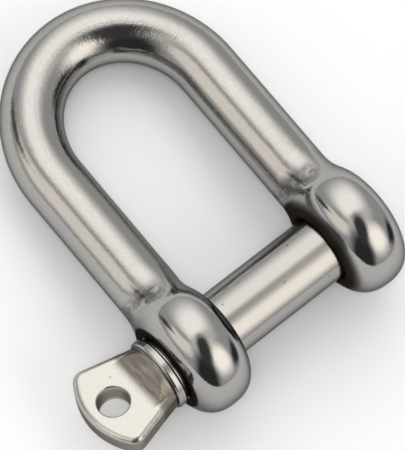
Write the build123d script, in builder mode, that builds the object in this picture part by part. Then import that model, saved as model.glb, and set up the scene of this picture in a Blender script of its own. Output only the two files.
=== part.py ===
from build123d import *
from math import asin, degrees
import os

os.makedirs("parts", exist_ok=True)

# D-shackle of the 10 mm size: a forged bow and a screw pin
# X runs along the pin from its head to its threaded end, Y towards the crown, Z up.
# The origin is on the pin's axis, midway between the two eyes.

# Bow
bar_diameter = 10.0
leg_spacing = 30.3
leg_length = 33.1
crown_rise = 16.0

# Eyes: rounded forgings around the pin's hole, fuller towards the jaw, with a flat faced on each side
eye_outset = 0.4
eye_wall = 5.2
eye_inner_bulge = 6.1
eye_outer_bulge = 5.8
eye_fullness = 0.74
inner_face_depth = 0.6
outer_face_depth = 0.8
neck_radius = 10.0

# Screw pin
shank_diameter = 10.8
shank_clearance = 0.15
shank_entry = 1.0
collar_height = 0.6
collar_thickness = 1.5
collar_edge = 0.4
collar_gap = 0.65
head_step = 0.7
head_step_fillet = 0.2

# Thread, M10, left as plain surfaces: its root on the pin, its full size in the far eye
thread_diameter = 10.0
thread_root_diameter = 8.4
thread_clearance = 0.2
thread_relief = 0.6
thread_tip_recess = 0.5
thread_tip_chamfer = 0.8
bore_chamfer = 0.4

# Head of the pin: a flat paddle with a wire hole, pressed out of the round
paddle_thickness = 4.2
paddle_width = 15.8
paddle_root_width = 10.6
paddle_reach = 12.5
paddle_corner_inset = 3.1
paddle_corner_radius = 1.9
paddle_edge = 1.0
paddle_turn = -15.4
ramp_length = 2.7
ramp_foot_radius = 3.5
wire_hole_diameter = 5.0
wire_hole_inset = 4.6
wire_hole_edge = 0.3

# Derived sizes
bar_radius = bar_diameter / 2
leg_offset = leg_spacing / 2
eye_offset = leg_offset + eye_outset
shank_radius = shank_diameter / 2
eye_radius = shank_radius + eye_wall
bore_radius = shank_radius + shank_clearance
thread_bore_radius = thread_diameter / 2 + thread_clearance
thread_root_radius = thread_root_diameter / 2
collar_radius = shank_radius + collar_height
head_radius = collar_radius - head_step
plate_half = paddle_thickness / 2

# Stations along the pin
inner_flat = eye_offset - eye_inner_bulge + inner_face_depth
outer_flat = eye_offset + eye_outer_bulge - outer_face_depth
eye_end = eye_offset + eye_outer_bulge
collar_seat = -(outer_flat + collar_gap)
collar_front = collar_seat - collar_thickness
ramp_top = collar_front - head_step_fillet
ramp_foot = ramp_top - ramp_length
paddle_end = collar_front - paddle_reach
corner_x = paddle_end + paddle_corner_inset
shank_end = inner_flat + shank_entry
thread_tip = outer_flat - thread_tip_recess
thread_start = shank_end + thread_relief

# The bow lies on its crown and on both eyes, so its plane leans down towards the crown.
lean = degrees(asin((eye_radius - bar_radius) / (leg_length + crown_rise)))
bow_plane = Plane.XY.rotated((-lean, 0, 0))
pin_plane = Plane.XY.rotated((paddle_turn - lean, 0, 0))

# Bow: the bent bar, both eyes, and the necks where the eyes run into the legs
with BuildPart() as bow:
    with BuildLine(bow_plane) as bar_line:
        right_leg = Line((leg_offset, 0), (leg_offset, leg_length))
        crown = EllipticalCenterArc((0, leg_length), leg_offset, crown_rise, start_angle=0, arc_size=180)
        left_leg = Line((-leg_offset, leg_length), (-leg_offset, 0))
    with BuildSketch(Plane(origin=right_leg @ 0, z_dir=right_leg % 0)):
        Circle(bar_radius)
    sweep(path=bar_line.wires()[0])
    for side in (-1, 1):
        centre = side * eye_offset
        with BuildSketch(bow_plane):
            with BuildLine():
                outer_half = Bezier(
                    (centre, -eye_radius),
                    (centre + side * eye_fullness * eye_outer_bulge, -eye_radius),
                    (centre + side * eye_outer_bulge, -eye_fullness * eye_radius),
                    (centre + side * eye_outer_bulge, 0),
                )
                inner_half = Bezier(
                    (centre, -eye_radius),
                    (centre - side * eye_fullness * eye_inner_bulge, -eye_radius),
                    (centre - side * eye_inner_bulge, -eye_fullness * eye_radius),
                    (centre - side * eye_inner_bulge, 0),
                )
                Line(outer_half @ 1, inner_half @ 1)
            make_face()
        revolve(axis=Axis.X)
    neck_edges = [
        edge
        for edge in bow.edges().filter_by(GeomType.BSPLINE)
        if bar_radius < edge.center().Y < eye_radius + bar_radius
    ]
    fillet(neck_edges, neck_radius)
    # Flats faced square to the pin on both sides of each eye
    with BuildSketch(Plane.YZ.offset(-inner_flat)):
        Circle(eye_radius * 0.75)
    extrude(amount=2 * inner_flat, mode=Mode.SUBTRACT)
    with BuildSketch(Plane.YZ.offset(outer_flat), Plane.YZ.offset(-outer_flat - eye_radius)):
        Circle(eye_radius)
    extrude(amount=eye_radius, mode=Mode.SUBTRACT)
    # One pass through both eyes: the plain bore, then the threaded hole, each mouth chamfered
    with BuildSketch(bow_plane):
        with BuildLine():
            Polyline(
                (-eye_end, 0),
                (-eye_end, bore_radius + bore_chamfer),
                (-outer_flat, bore_radius + bore_chamfer),
                (-outer_flat + bore_chamfer, bore_radius),
                (-inner_flat - bore_chamfer, bore_radius),
                (-inner_flat, bore_radius + bore_chamfer),
                (inner_flat, bore_radius + bore_chamfer),
                (inner_flat + bore_chamfer, bore_radius),
                (thread_start, bore_radius),
                (thread_start, thread_bore_radius),
                (outer_flat - bore_chamfer, thread_bore_radius),
                (outer_flat, thread_bore_radius + bore_chamfer),
                (eye_end, thread_bore_radius + bore_chamfer),
                (eye_end, 0),
                close=True,
            )
        make_face()
    revolve(axis=Axis.X, mode=Mode.SUBTRACT)

bow.part.label = "bow"
export_step(bow.part, "parts/bow.step")

# Paddle of the pin's head, with rounded edges and the wire hole
with BuildPart() as paddle:
    with BuildSketch(pin_plane):
        with BuildLine():
            upper_flank = Line((collar_front + collar_edge, paddle_root_width / 2), (corner_x, paddle_width / 2))
            paddle_arc = ThreePointArc(upper_flank @ 1, (paddle_end, 0), (corner_x, -paddle_width / 2))
            lower_flank = Line(paddle_arc @ 1, (collar_front + collar_edge, -paddle_root_width / 2))
            Line(lower_flank @ 1, upper_flank @ 0)
        make_face()
        fillet(vertices().sort_by(Axis.X)[:2], paddle_corner_radius)
    extrude(amount=plate_half, both=True)
    flat_faces = paddle.faces().filter_by(Axis((0, 0, 0), pin_plane.z_dir))
    rim_edges = flat_faces.edges().filter_by(lambda edge: edge.center().X < collar_front)
    fillet(rim_edges, paddle_edge)
    with BuildSketch(pin_plane):
        with Locations((paddle_end + wire_hole_inset, 0)):
            Circle(wire_hole_diameter / 2)
    extrude(amount=paddle_thickness, both=True, mode=Mode.SUBTRACT)
    hole_edges = paddle.edges().filter_by(
        lambda edge: edge.geom_type == GeomType.CIRCLE and abs(edge.radius - wire_hole_diameter / 2) < 0.01
    )
    fillet(hole_edges, wire_hole_edge)

# Screw pin: turned round, ramps pressed into both faces of its head, and the paddle
with BuildPart() as screw_pin:
    with BuildSketch(pin_plane):
        with BuildLine():
            Polyline(
                (ramp_foot - plate_half, 0),
                (ramp_foot - plate_half, head_radius),
                (collar_front, head_radius),
                (collar_front, collar_radius),
                (collar_seat, collar_radius),
                (collar_seat, shank_radius),
                (shank_end, shank_radius),
                (shank_end, thread_root_radius),
                (thread_tip, thread_root_radius),
                (thread_tip, 0),
                close=True,
            )
        make_face()
        fillet(vertices().sort_by_distance((collar_front, head_radius))[0], head_step_fillet)
        fillet(vertices().group_by(Axis.Y)[-1], collar_edge)
        chamfer(vertices().sort_by_distance((thread_tip, thread_root_radius))[0], thread_tip_chamfer)
        chamfer(vertices().sort_by_distance((shank_end, shank_radius))[0], bore_chamfer)
    revolve(axis=Axis.X)
    for up in (1, -1):
        with BuildSketch(Plane(origin=(0, 0, 0), x_dir=(1, 0, 0), z_dir=-pin_plane.y_dir)):
            with BuildLine():
                ramp = FilletPolyline(
                    (paddle_end, up * plate_half),
                    (ramp_foot, up * plate_half),
                    (ramp_top, up * head_radius),
                    radius=ramp_foot_radius,
                )
                Polyline(ramp @ 1, (ramp_top, up * paddle_width), (paddle_end, up * paddle_width), ramp @ 0)
            make_face()
        extrude(amount=paddle_width, both=True, mode=Mode.SUBTRACT)
    add(paddle.part)

screw_pin.part.label = "screw_pin"
export_step(screw_pin.part, "parts/screw_pin.step")
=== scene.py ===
import math

import bpy
from mathutils import Euler, Matrix, Vector


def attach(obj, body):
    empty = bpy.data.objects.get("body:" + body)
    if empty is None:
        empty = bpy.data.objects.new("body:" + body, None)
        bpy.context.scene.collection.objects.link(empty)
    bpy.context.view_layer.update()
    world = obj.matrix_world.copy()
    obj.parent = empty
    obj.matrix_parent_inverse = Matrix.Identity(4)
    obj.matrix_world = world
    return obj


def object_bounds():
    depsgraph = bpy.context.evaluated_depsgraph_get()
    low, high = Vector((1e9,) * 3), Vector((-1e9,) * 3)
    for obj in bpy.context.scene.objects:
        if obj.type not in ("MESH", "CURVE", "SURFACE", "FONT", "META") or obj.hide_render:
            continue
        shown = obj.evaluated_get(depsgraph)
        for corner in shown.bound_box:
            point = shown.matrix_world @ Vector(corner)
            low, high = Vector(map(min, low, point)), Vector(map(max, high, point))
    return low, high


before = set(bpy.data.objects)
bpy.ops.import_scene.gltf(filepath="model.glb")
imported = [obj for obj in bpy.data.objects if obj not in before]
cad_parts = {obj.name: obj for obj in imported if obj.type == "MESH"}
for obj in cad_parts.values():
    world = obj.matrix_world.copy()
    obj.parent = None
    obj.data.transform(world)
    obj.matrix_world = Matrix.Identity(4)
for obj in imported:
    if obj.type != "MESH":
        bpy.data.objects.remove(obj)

frame_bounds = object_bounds()
MM = 0.001

# Sizes of the forging, as the CAD has them
BAR_RADIUS = 5.0 * MM
EYE_RADIUS = 10.6 * MM
CROWN_DISTANCE = 49.1 * MM
LEAN = math.asin((EYE_RADIUS - BAR_RADIUS) / CROWN_DISTANCE)

# The paddle is turned about the pin, and leans with the bow
PADDLE_TURN = math.radians(15.4)
PADDLE_NORMAL = (0.0, math.sin(PADDLE_TURN + LEAN), math.cos(PADDLE_TURN + LEAN))

# M10 thread: 1.5 mm pitch, on the pin's end and in the far eye
THREAD_PITCH = 1.5 * MM
PIN_ROOT = 4.2 * MM
PIN_CREST = 4.8 * MM
PIN_THREAD = (11.4 * MM, 19.2 * MM)
EYE_ROOT = 5.2 * MM
EYE_CREST = 4.86 * MM
EYE_THREAD = (12.2 * MM, 19.9 * MM)
CREST_WIDTH = 0.25 * MM
ROOT_WIDTH = 0.95 * MM
THREAD_SINK = 0.08 * MM
STEPS_PER_TURN = 48
FADE_TURNS = 0.25

# Zones of the bow's finish in millimetres, from the pin's middle along the legs
EYES_END = 9.0
CREASES = (9.0, 11.2)
NECK = (8.6, 13.2)
LEGS_START = 10.0

# Zones of the bow's finish in millimetres, from the pin's middle along the pin, and one from its axis.
# The marks of the flats lie 0.1 mm inside the eye, so that the whole flat is past them.
NEAR_LEG_OUTER_HALF = (-21.0, -14.8)
FAR_LEG_INNER_HALF = (9.0, 15.6)
OUTER_FLATS = 20.45
INNER_FLATS = 10.15
JAW_SHADE_END = 10.9
JAW_SHADE_RADIUS = 8.8

# Zones of the pin's finish in millimetres, from its middle along it, and off the middle of the paddle
PRESSED_START = -23.0
RAMP_FOOT = -25.9
STEP_SHADE_BAND = (-23.05, -22.75)
TRIMMED_RIM_HALF = 1.3

EDGE_TINT = "#98989C"

# The photograph's frame and camera: directions in the bow's own axes, the size that a pixel has at the pin,
# and how many pixels the picture's centre lies to the right of the pin's middle and above it
PICTURE_LONG_SIDE = 450
CAMERA_DISTANCE = 553.3 * MM
CAMERA_TOWARD = Vector((-0.2782, -0.1567, 0.9477))
CAMERA_UP = Vector((0.5872, 0.7530, 0.2969))
PIXEL_AT_PIN = 0.15213 * MM
CENTRE_RIGHT_OF_PIN = -67.3
CENTRE_ABOVE_PIN = 62.9
SENSOR_WIDTH = 36.0

# The tent around the shackle, the floor under it, and the lamp that lights the floor
TENT_GREY = 0.6
FLOOR_HALF = 4.0
LAMP_DISTANCE = 2.0
LAMP_SIZE = 0.5
LAMP_POWER = 6.5


def linear(hex_colour):
    """An sRGB hex colour as linear red, green, blue and alpha."""
    channels = [int(hex_colour[i : i + 2], 16) / 255 for i in (1, 3, 5)]
    return [c / 12.92 if c <= 0.04045 else ((c + 0.055) / 1.055) ** 2.4 for c in channels] + [1.0]


def node(tree, kind, inputs=(), **settings):
    """Adds a node, sets its properties, and gives each input a value or a link."""
    made = tree.nodes.new(kind)
    for name, value in settings.items():
        setattr(made, name, value)
    for socket, value in dict(inputs).items():
        if isinstance(value, bpy.types.NodeSocket):
            tree.links.new(value, made.inputs[socket])
        else:
            made.inputs[socket].default_value = value
    return made


def overlap(tree, cover, *others):
    """The cover that is left where several covers or shares meet."""
    for other in others:
        cover = node(tree, "ShaderNodeMath", {0: cover, 1: other}, operation="MULTIPLY").outputs["Value"]
    return cover


def unevenness(tree, place, size, detail=2.0):
    """Noise whose lumps have the given size in millimetres along x, y and z."""
    stretched = node(tree, "ShaderNodeVectorMath", {0: place, 1: size}, operation="DIVIDE").outputs["Vector"]
    noise = node(tree, "ShaderNodeTexNoise", {"Vector": stretched, "Scale": 1.0, "Detail": detail})
    return noise.outputs["Fac"]


def between(tree, value, low, high, soft):
    """1 where the value lies between two marks and 0 elsewhere, with soft ends; None leaves an end open."""
    ends = []
    for mark, before, after in ((low, 0.0, 1.0), (high, 1.0, 0.0)):
        if mark is None:
            continue
        end = node(
            tree,
            "ShaderNodeMapRange",
            {
                "Value": value,
                "From Min": mark - soft,
                "From Max": mark + soft,
                "To Min": before,
                "To Max": after,
            },
            interpolation_type="SMOOTHSTEP",
        )
        ends.append(end.outputs["Result"])
    return overlap(tree, *ends)


def pits(tree, place, spacing, radius, share):
    """Small round pits, one at most in each cell of the given spacing, in the given share of the cells."""
    cell = (spacing, spacing, spacing)
    stretched = node(tree, "ShaderNodeVectorMath", {0: place, 1: cell}, operation="DIVIDE").outputs["Vector"]
    cells = node(tree, "ShaderNodeTexVoronoi", {"Vector": stretched, "Scale": 1.0})
    pit = between(tree, cells.outputs["Distance"], None, radius / spacing, 0.6 * radius / spacing)
    chance = node(tree, "ShaderNodeSeparateColor", {"Color": cells.outputs["Color"]}).outputs["Red"]
    chosen = node(tree, "ShaderNodeMath", {0: chance, 1: share}, operation="LESS_THAN").outputs["Value"]
    return overlap(tree, pit, chosen)


def layered(tree, start, layers):
    """A hex colour, or a number, with others laid over it in turn, each by its own cover."""
    is_colour = isinstance(start, str)
    result = linear(start) if is_colour else start
    for cover, layer in layers:
        mix = node(
            tree,
            "ShaderNodeMix",
            {"Factor": cover, "A": result, "B": linear(layer) if is_colour else layer},
            data_type="RGBA" if is_colour else "FLOAT",
        )
        result = mix.outputs["Result"]
    return result


def relief(tree, layers):
    """Bumps laid over each other, each with its height pattern and its depth in millimetres."""
    normal = None
    for height, depth in layers:
        inputs = {"Height": height, "Distance": depth * MM, "Strength": 1.0}
        if normal:
            inputs["Normal"] = normal
        normal = node(tree, "ShaderNodeBump", inputs).outputs["Normal"]
    return normal


def steel(name):
    """A new material with an empty node tree, and the place on the piece in millimetres."""
    material = bpy.data.materials.new(name)
    material.use_nodes = True
    tree = material.node_tree
    tree.nodes.clear()
    metres = node(tree, "ShaderNodeTexCoord").outputs["Object"]
    scaled = node(tree, "ShaderNodeVectorMath", {0: metres, "Scale": 1 / MM}, operation="SCALE")
    place = scaled.outputs["Vector"]
    axes = node(tree, "ShaderNodeSeparateXYZ", {"Vector": place}).outputs
    return material, tree, place, axes


def finished(tree, colour, roughness, normal):
    """The metal's shader, with the tint that its skin takes at a glancing angle."""
    shader = node(
        tree,
        "ShaderNodeBsdfPrincipled",
        {
            "Base Color": colour,
            "Metallic": 1.0,
            "Roughness": roughness,
            "Normal": normal,
            "Specular Tint": linear(EDGE_TINT),
        },
    )
    node(tree, "ShaderNodeOutputMaterial", {"Surface": shader.outputs["BSDF"]})


def tumbled_forging():
    """Stainless steel, drop forged and tumbled bright.

    The eye sees a mirror that is a little uneven, fine grain, a few pits, forging folds where the eyes
    run into the legs with painted shade in their hollows, brown residue on the flats faced around the bores,
    and painted shade, nearly black, under the collar and around the bores in the jaw.
    """
    material, tree, place, axes = steel("stainless steel, drop forged and tumbled bright")
    along_pin = axes["X"]
    along_leg = axes["Y"]
    from_middle = node(tree, "ShaderNodeMath", {0: along_pin}, operation="ABSOLUTE").outputs["Value"]
    flattened = node(tree, "ShaderNodeVectorMath", {0: place, 1: (0, 1, 1)}, operation="MULTIPLY")
    off_axis = node(tree, "ShaderNodeVectorMath", {0: flattened.outputs["Vector"]}, operation="LENGTH")
    radius = off_axis.outputs["Value"]

    # Tumbled skin: long waves, small dents and pits all over, with grain and mottle mostly on the legs.
    # The grain is finer than a pixel, so it is drawn at 0.3 mm.
    drift = unevenness(tree, place, (9.0, 9.0, 9.0), 3.0)
    waves = unevenness(tree, place, (4.0, 9.0, 4.0))
    dents = unevenness(tree, place, (1.2, 2.0, 1.2), 4.0)
    grain = unevenness(tree, place, (0.3, 0.3, 0.3), 3.0)
    specks = pits(tree, place, spacing=2.2, radius=0.12, share=0.2)
    on_legs = layered(tree, 0.35, [(between(tree, along_leg, LEGS_START, None, 1.5), 1.0)])
    legs_grain = overlap(tree, on_legs, grain)
    mottle = between(tree, unevenness(tree, place, (0.6, 1.0, 0.6), 3.0), 0.5, None, 0.12)
    mottle = overlap(tree, on_legs, mottle)

    # Forging creases: short folds across the necks, on the near leg's outer side and the far leg's inner
    # side; painted shade darkens their hollows
    neck = between(tree, along_leg, *NECK, 1.2)
    near_leg_side = between(tree, along_pin, *NEAR_LEG_OUTER_HALF, 0.7)
    far_leg_side = between(tree, along_pin, *FAR_LEG_INNER_HALF, 0.7)
    crease_sides = layered(tree, near_leg_side, [(far_leg_side, 1.0)])
    crease_band = overlap(tree, between(tree, along_leg, *CREASES, 0.9), crease_sides)
    folds = unevenness(tree, place, (1.9, 1.1, 1.9), 1.5)
    # Painted shade: the hollows of the folds in the crease band are coloured dark brown
    crease_painted_shade = overlap(tree, crease_band, between(tree, folds, None, 0.5, 0.16))
    fold_cover = layered(tree, overlap(tree, neck, 0.1), [(crease_band, 1.0)])
    neck_folds = overlap(tree, fold_cover, folds)

    # Faced flats: the cutter's rings are about 0.1 mm apart, and are drawn at 0.2 mm.
    on_eyes = between(tree, along_leg, None, EYES_END, 0.5)
    outer_flats = overlap(tree, on_eyes, between(tree, from_middle, OUTER_FLATS, None, 0.08))
    inner_flats = overlap(tree, on_eyes, between(tree, from_middle, None, INNER_FLATS, 0.08))
    flats = layered(tree, outer_flats, [(inner_flats, 1.0)])
    ring_place = node(tree, "ShaderNodeCombineXYZ", {"X": radius}).outputs["Vector"]
    rings = overlap(tree, flats, unevenness(tree, ring_place, (0.2, 1.0, 1.0), 3.0))

    # Residue: patches on the outer flats. Painted shade: a nearly black coat on the flat under the collar and
    # around the bores in the jaw, where the gaps lie in shadow
    patches = between(tree, unevenness(tree, place, (1.0, 1.0, 1.0), 4.0), 0.5, None, 0.12)
    residue = overlap(tree, outer_flats, patches, 0.5)
    under_collar = between(tree, along_pin, None, -OUTER_FLATS, 0.08)
    jaw_side = between(tree, from_middle, None, JAW_SHADE_END, 0.6)
    around_bore = overlap(tree, jaw_side, between(tree, radius, None, JAW_SHADE_RADIUS, 0.5))
    # Painted shade: the crevices under the collar and around the jaw's bores are coloured nearly black and
    # made rough
    crevice_painted_shade = overlap(tree, on_eyes, layered(tree, under_collar, [(around_bore, 1.0)]))

    colour = layered(
        tree,
        "#A2A2A1",
        [
            (drift, "#ACABAA"),
            (overlap(tree, mottle, 0.3), "#A3A094"),
            (overlap(tree, specks, 0.4), "#4A453E"),
            (overlap(tree, crease_painted_shade, 0.62), "#4C443B"),
            (outer_flats, "#A29E98"),
            (residue, "#5E564C"),
            (overlap(tree, crevice_painted_shade, 0.93), "#2A231C"),
        ],
    )
    roughness = layered(
        tree,
        0.05,
        [(drift, 0.09), (overlap(tree, mottle, 0.5), 0.16), (neck, 0.15), (flats, 0.25), (crevice_painted_shade, 0.5)],
    )
    normal = relief(
        tree,
        [
            (waves, 0.03),
            (dents, 0.012),
            (neck_folds, 0.17),
            (legs_grain, 0.018),
            (rings, 0.015),
            (specks, -0.02),
        ],
    )
    finished(tree, colour, roughness, normal)
    return material


def turned_and_pressed():
    """Stainless steel bar, turned bright, with its end pressed flat into the paddle.

    The eye sees a satin shank with faint turning marks and a few pits, a paler matt face where the dies
    pressed it, painted shade on the rim left by trimming and in the step at the collar, and brown, dragged
    metal on the ramps behind the collar.
    """
    material, tree, place, axes = steel("stainless steel bar, turned and pressed")
    along_pin = axes["X"]
    height = node(tree, "ShaderNodeVectorMath", {0: place, 1: PADDLE_NORMAL}, operation="DOT_PRODUCT")
    off_plate = node(tree, "ShaderNodeMath", {0: height.outputs["Value"]}, operation="ABSOLUTE")
    off_plate = off_plate.outputs["Value"]

    # Turned skin: the marks of 0.1 mm feed are finer than a pixel, so they are drawn at 0.25 mm.
    drift = unevenness(tree, place, (7.0, 7.0, 7.0), 3.0)
    turning = unevenness(tree, place, (0.25, 5.0, 5.0), 3.0)
    grain = unevenness(tree, place, (0.3, 0.3, 0.3), 3.0)
    specks = pits(tree, place, spacing=2.4, radius=0.2, share=0.35)

    # Pressed head: its ramps, the metal that the dies dragged along them, the trimmed rim with painted shade
    # on it, and painted shade in the step at the collar
    pressed = between(tree, along_pin, None, PRESSED_START, 0.15)
    pressed_grain = overlap(tree, pressed, grain)
    ramps = between(tree, along_pin, RAMP_FOOT, PRESSED_START, 0.5)
    streaks = between(tree, unevenness(tree, place, (0.45, 2.6, 2.6), 4.0), 0.4, None, 0.25)
    dragged = overlap(tree, ramps, streaks)
    # Painted shade: a thin dark line in the step between the collar and the ramps
    step_painted_shade = between(tree, along_pin, *STEP_SHADE_BAND, 0.1)
    # Painted shade: the rim round the paddle is coloured darker
    rim_painted_shade = overlap(tree, pressed, between(tree, off_plate, None, TRIMMED_RIM_HALF, 0.25))

    colour = layered(
        tree,
        "#9F9E9C",
        [
            (drift, "#A7A6A3"),
            (pressed, "#B9B7B2"),
            (overlap(tree, rim_painted_shade, 0.68), "#7A766F"),
            (overlap(tree, ramps, 0.5), "#7D766B"),
            (overlap(tree, dragged, 0.65), "#5F584E"),
            (overlap(tree, step_painted_shade, 0.5), "#4A4036"),
            (overlap(tree, specks, 0.5), "#4A443C"),
        ],
    )
    roughness = layered(tree, 0.14, [(drift, 0.2), (pressed, 0.27), (ramps, 0.34)])
    normal = relief(
        tree,
        [
            (drift, 0.01),
            (turning, 0.002),
            (grain, 0.004),
            (pressed_grain, 0.03),
            (dragged, -0.01),
            (specks, -0.02),
        ],
    )
    finished(tree, colour, roughness, normal)
    return material


def thread_ridge(name, root, crest, stretch, start_angle, body, material):
    """A right-hand helical ridge around the pin's axis, faded out at both ends."""
    start, end = stretch
    turns = (end - start) / THREAD_PITCH
    steps = round(turns * STEPS_PER_TURN)
    sunk_root = root - THREAD_SINK if crest > root else root + THREAD_SINK
    vertices = []
    faces = []
    for step in range(steps + 1):
        along = step / steps
        angle = start_angle + 2 * math.pi * turns * along
        middle = start + (end - start) * along
        height = min(1.0, along * turns / FADE_TURNS, (1 - along) * turns / FADE_TURNS)
        top = sunk_root + (crest - sunk_root) * height
        profile = (
            (middle - ROOT_WIDTH / 2, sunk_root),
            (middle - CREST_WIDTH / 2, top),
            (middle + CREST_WIDTH / 2, top),
            (middle + ROOT_WIDTH / 2, sunk_root),
        )
        vertices += [(x, r * math.cos(angle), r * math.sin(angle)) for x, r in profile]
        if step:
            last, this = 4 * (step - 1), 4 * step
            faces += [(last + i, last + (i + 1) % 4, this + (i + 1) % 4, this + i) for i in range(4)]
    faces += [(3, 2, 1, 0), tuple(4 * steps + i for i in range(4))]
    mesh = bpy.data.meshes.new(name)
    mesh.from_pydata(vertices, [], faces)
    mesh.materials.append(material)
    ridge = bpy.data.objects.new(name, mesh)
    bpy.context.scene.collection.objects.link(ridge)
    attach(ridge, body)
    return ridge


def panel_cover(tree, direction, name, aim, half_size, turn, softness):
    """1 where a direction looks at a panel of the tent and 0 past it: an ellipse with a soft edge."""
    facing = Euler((math.radians(turn), -math.radians(aim[1]), math.radians(aim[0])))
    turned = node(
        tree,
        "ShaderNodeVectorRotate",
        {"Vector": direction, "Rotation": facing},
        rotation_type="EULER_XYZ",
        invert=True,
    ).outputs["Vector"]
    middle = (1.0, 0.0, 0.0)
    spread = (1.0, math.sin(math.radians(half_size[0])), math.sin(math.radians(half_size[1])))
    offset = node(tree, "ShaderNodeVectorMath", {0: turned, 1: middle}, operation="SUBTRACT")
    scaled = node(tree, "ShaderNodeVectorMath", {0: offset.outputs["Vector"], 1: spread}, operation="DIVIDE")
    reach = node(tree, "ShaderNodeVectorMath", {0: scaled.outputs["Vector"]}, operation="LENGTH")
    cover = between(tree, reach.outputs["Value"], None, 1.0, softness)
    cover.node.label = name
    return cover


def light_tent():
    """World light: a grey tent with soft bright panels and black flags, laid over each other in turn."""
    panels = (
        # Name, azimuth and elevation, half width and half height in degrees, turn, softness, brightness, tint
        ("overhead panel", (70, 60), (28, 41), -15, 0.6, 2.0, "#FFFCF7"),
        ("strip over the top", (-6, 87), (11, 32), 0, 0.5, 1.05, "#FFFCF7"),
        ("front panel", (-71, 42), (17, 27), -8, 0.55, 2.25, "#FFF8EE"),
        ("left panel", (158, 36), (27, 26), -12, 0.3, 1.5, "#FFF7EE"),
        ("gap between overhead and left panels", (138, 50), (7, 29), -40, 0.6, 0.72, "#FFFCF4"),
        ("long black flag", (-128, 11), (29, 62), -4, 0.3, 0.05, "#FFFFFF"),
        ("small black flag", (-38, 13), (18, 11), 0, 0.45, 0.05, "#FFFFFF"),
        ("grey flag", (128, 16), (19, 6), 40, 0.5, 0.12, "#FFFFFF"),
        ("camera and its stand", (-107, 70), (15, 29), -12, 0.3, 0.08, "#FFFFFF"),
    )
    world = bpy.data.worlds.new("light tent")
    world.use_nodes = True
    tree = world.node_tree
    tree.nodes.clear()
    direction = node(tree, "ShaderNodeTexCoord").outputs["Generated"]
    light = [TENT_GREY] * 3 + [1.0]
    for name, aim, half_size, turn, softness, brightness, tint in panels:
        cover = panel_cover(tree, direction, name, aim, half_size, turn, softness)
        panel_light = [channel * brightness for channel in linear(tint)[:3]] + [1.0]
        mix = node(tree, "ShaderNodeMix", {"Factor": cover, "A": light, "B": panel_light}, data_type="RGBA")
        light = mix.outputs["Result"]
    background = node(tree, "ShaderNodeBackground", {"Color": light, "Strength": 1.0})
    node(tree, "ShaderNodeOutputWorld", {"Surface": background.outputs["Background"]})
    bpy.context.scene.world = world


def pale_floor(height):
    """The plain floor that the shackle lies on."""
    material = bpy.data.materials.new("matt white paper sweep")
    material.use_nodes = True
    shader = material.node_tree.nodes["Principled BSDF"]
    shader.inputs["Base Color"].default_value = linear("#F5F7FA")
    shader.inputs["Roughness"].default_value = 0.9
    corners = [(x * FLOOR_HALF, y * FLOOR_HALF, height) for x, y in ((-1, -1), (1, -1), (1, 1), (-1, 1))]
    mesh = bpy.data.meshes.new("floor")
    mesh.from_pydata(corners, [], [(0, 1, 2, 3)])
    mesh.materials.append(material)
    floor = bpy.data.objects.new("floor", mesh)
    bpy.context.scene.collection.objects.link(floor)


def bow_axes_to_world(vector):
    """Turns a direction given in the bow's own axes by the bow's lean."""
    return Euler((-LEAN, 0, 0)).to_matrix() @ vector


def floor_lamp():
    """A soft lamp beside the camera that lights the floor, hidden from reflections so no steel shows it."""
    data = bpy.data.lights.new("lamp beside the camera", "AREA")
    data.size = LAMP_SIZE
    data.energy = LAMP_POWER
    data.color = (0.96, 0.98, 1.0)
    lamp = bpy.data.objects.new("lamp beside the camera", data)
    lamp.location = bow_axes_to_world(CAMERA_TOWARD) * LAMP_DISTANCE
    lamp.rotation_euler = lamp.location.to_track_quat("Z", "Y").to_euler()
    lamp.visible_glossy = False
    bpy.context.scene.collection.objects.link(lamp)


def photograph_camera():
    """The camera at the photograph's angle and distance, aimed at the middle of its frame."""
    toward = bow_axes_to_world(CAMERA_TOWARD).normalized()
    right = bow_axes_to_world(CAMERA_UP).cross(toward).normalized()
    up = toward.cross(right)
    position = toward * CAMERA_DISTANCE
    middle = (right * CENTRE_RIGHT_OF_PIN + up * CENTRE_ABOVE_PIN) * PIXEL_AT_PIN
    back = (position - middle).normalized()
    side = up.cross(back).normalized()
    data = bpy.data.cameras.new("camera")
    data.sensor_width = SENSOR_WIDTH
    data.lens = SENSOR_WIDTH * CAMERA_DISTANCE / PIXEL_AT_PIN / PICTURE_LONG_SIDE
    camera = bpy.data.objects.new("camera", data)
    bpy.context.scene.collection.objects.link(camera)
    facing = Matrix((side, back.cross(side), back)).transposed().to_4x4()
    camera.matrix_world = Matrix.Translation(position) @ facing
    bpy.context.scene.camera = camera


bow_steel = tumbled_forging()
pin_steel = turned_and_pressed()

for piece, material in (("bow", bow_steel), ("screw_pin", pin_steel)):
    for material_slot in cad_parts[piece].material_slots:
        material_slot.material = material

pin_thread = thread_ridge("pin_thread", PIN_ROOT, PIN_CREST, PIN_THREAD, 0.0, "pin", pin_steel)
eye_thread = thread_ridge("eye_thread", EYE_ROOT, EYE_CREST, EYE_THREAD, math.pi, "bow", bow_steel)

pale_floor(frame_bounds[0].z)
light_tent()
floor_lamp()
photograph_camera()
bpy.context.scene.view_settings.view_transform = "Standard"
